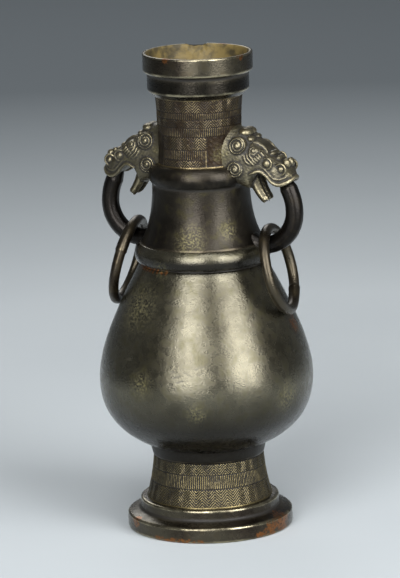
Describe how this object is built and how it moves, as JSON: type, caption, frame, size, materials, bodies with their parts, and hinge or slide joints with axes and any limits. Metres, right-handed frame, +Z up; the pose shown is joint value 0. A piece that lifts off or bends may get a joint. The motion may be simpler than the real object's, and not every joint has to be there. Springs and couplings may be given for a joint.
{
  "type": "bronze hu vessel",
  "caption": "Pear-shaped bronze hu vase on a flared foot, with a stepped mouth, beast-head handles and loose rings that lift.",
  "frame": {"origin": "centre of the base on the surface it stands on", "axes": "+Z up along the vessel's axis, +X towards the right handle, -Y towards the front"},
  "size_m": [0.165, 0.1604, 0.36],
  "materials": {
    "worn_bronze": "brown patina, rubbed to copper on the edges",
    "chased_bronze": "brown patina with pale dust in the pattern",
    "dark_bronze": "olive-black patina, satin",
    "handle_bronze": "olive-brown patina, satin",
    "ring_bronze": "brown patina, rubbed bright",
    "raw_bronze": "dry ochre inside"
  },
  "bodies": {
    "vessel": {"mouth_rim": "worn_bronze", "upper_neck": "chased_bronze", "lower_neck": "dark_bronze", "belly": "dark_bronze", "floor_plate": "raw_bronze", "foot_collar": "dark_bronze", "foot_band": "chased_bronze", "foot_base": "worn_bronze", "right_beast_head": "handle_bronze", "left_beast_head": "handle_bronze", "right_handle_loop": "handle_bronze", "left_handle_loop": "handle_bronze", "right_head_rivet": "raw_bronze", "left_head_rivet": "raw_bronze"},
    "right_ring_body": {"right_ring": "ring_bronze"},
    "left_ring_body": {"left_ring": "ring_bronze"}
  },
  "joints": [
    {"name": "right_ring_lift", "type": "hinge", "parent": "vessel", "child": "right_ring_body", "pos_m": [0.054, 0, 0.22934], "axis": [0.1564, -0.9877, 0], "range_deg": [0, 110]},
    {"name": "left_ring_lift", "type": "hinge", "parent": "vessel", "child": "left_ring_body", "pos_m": [-0.054, 0, 0.22934], "axis": [-0.1564, 0.9877, 0], "range_deg": [0, 110]}
  ]
}
